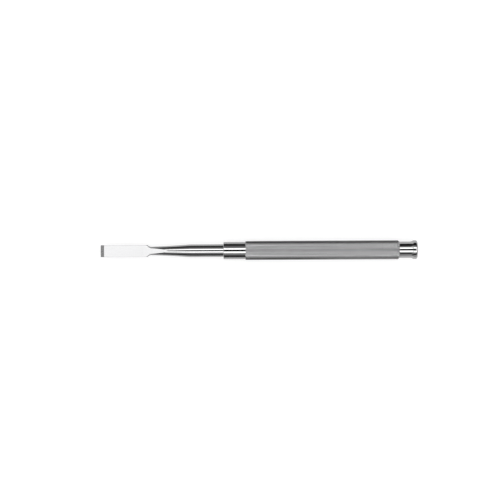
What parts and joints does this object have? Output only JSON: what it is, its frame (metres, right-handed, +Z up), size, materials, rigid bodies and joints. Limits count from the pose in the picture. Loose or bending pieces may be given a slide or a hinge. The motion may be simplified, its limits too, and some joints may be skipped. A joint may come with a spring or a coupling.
{
  "type": "bone chisel",
  "caption": "Slim steel bone chisel: flat single-bevel blade on a waisted neck and round shank, plain collar, long diamond-knurled grip and a flared crowned striking head",
  "frame": {"origin": "on the surface that the chisel lies on, under the middle of its overall length and under its axis", "axes": "+X along the chisel from the cutting edge to the striking head, +Y across the blade, +Z up out of the bevelled face of the blade"},
  "size_m": [0.16, 0.0098, 0.0099],
  "materials": {
    "polished_steel": "mirror-polished stainless steel, satin flats on the blade, bright diamond knurl on the grip"
  },
  "bodies": {
    "root": {"bone_chisel": "polished_steel"}
  },
  "joints": []
}
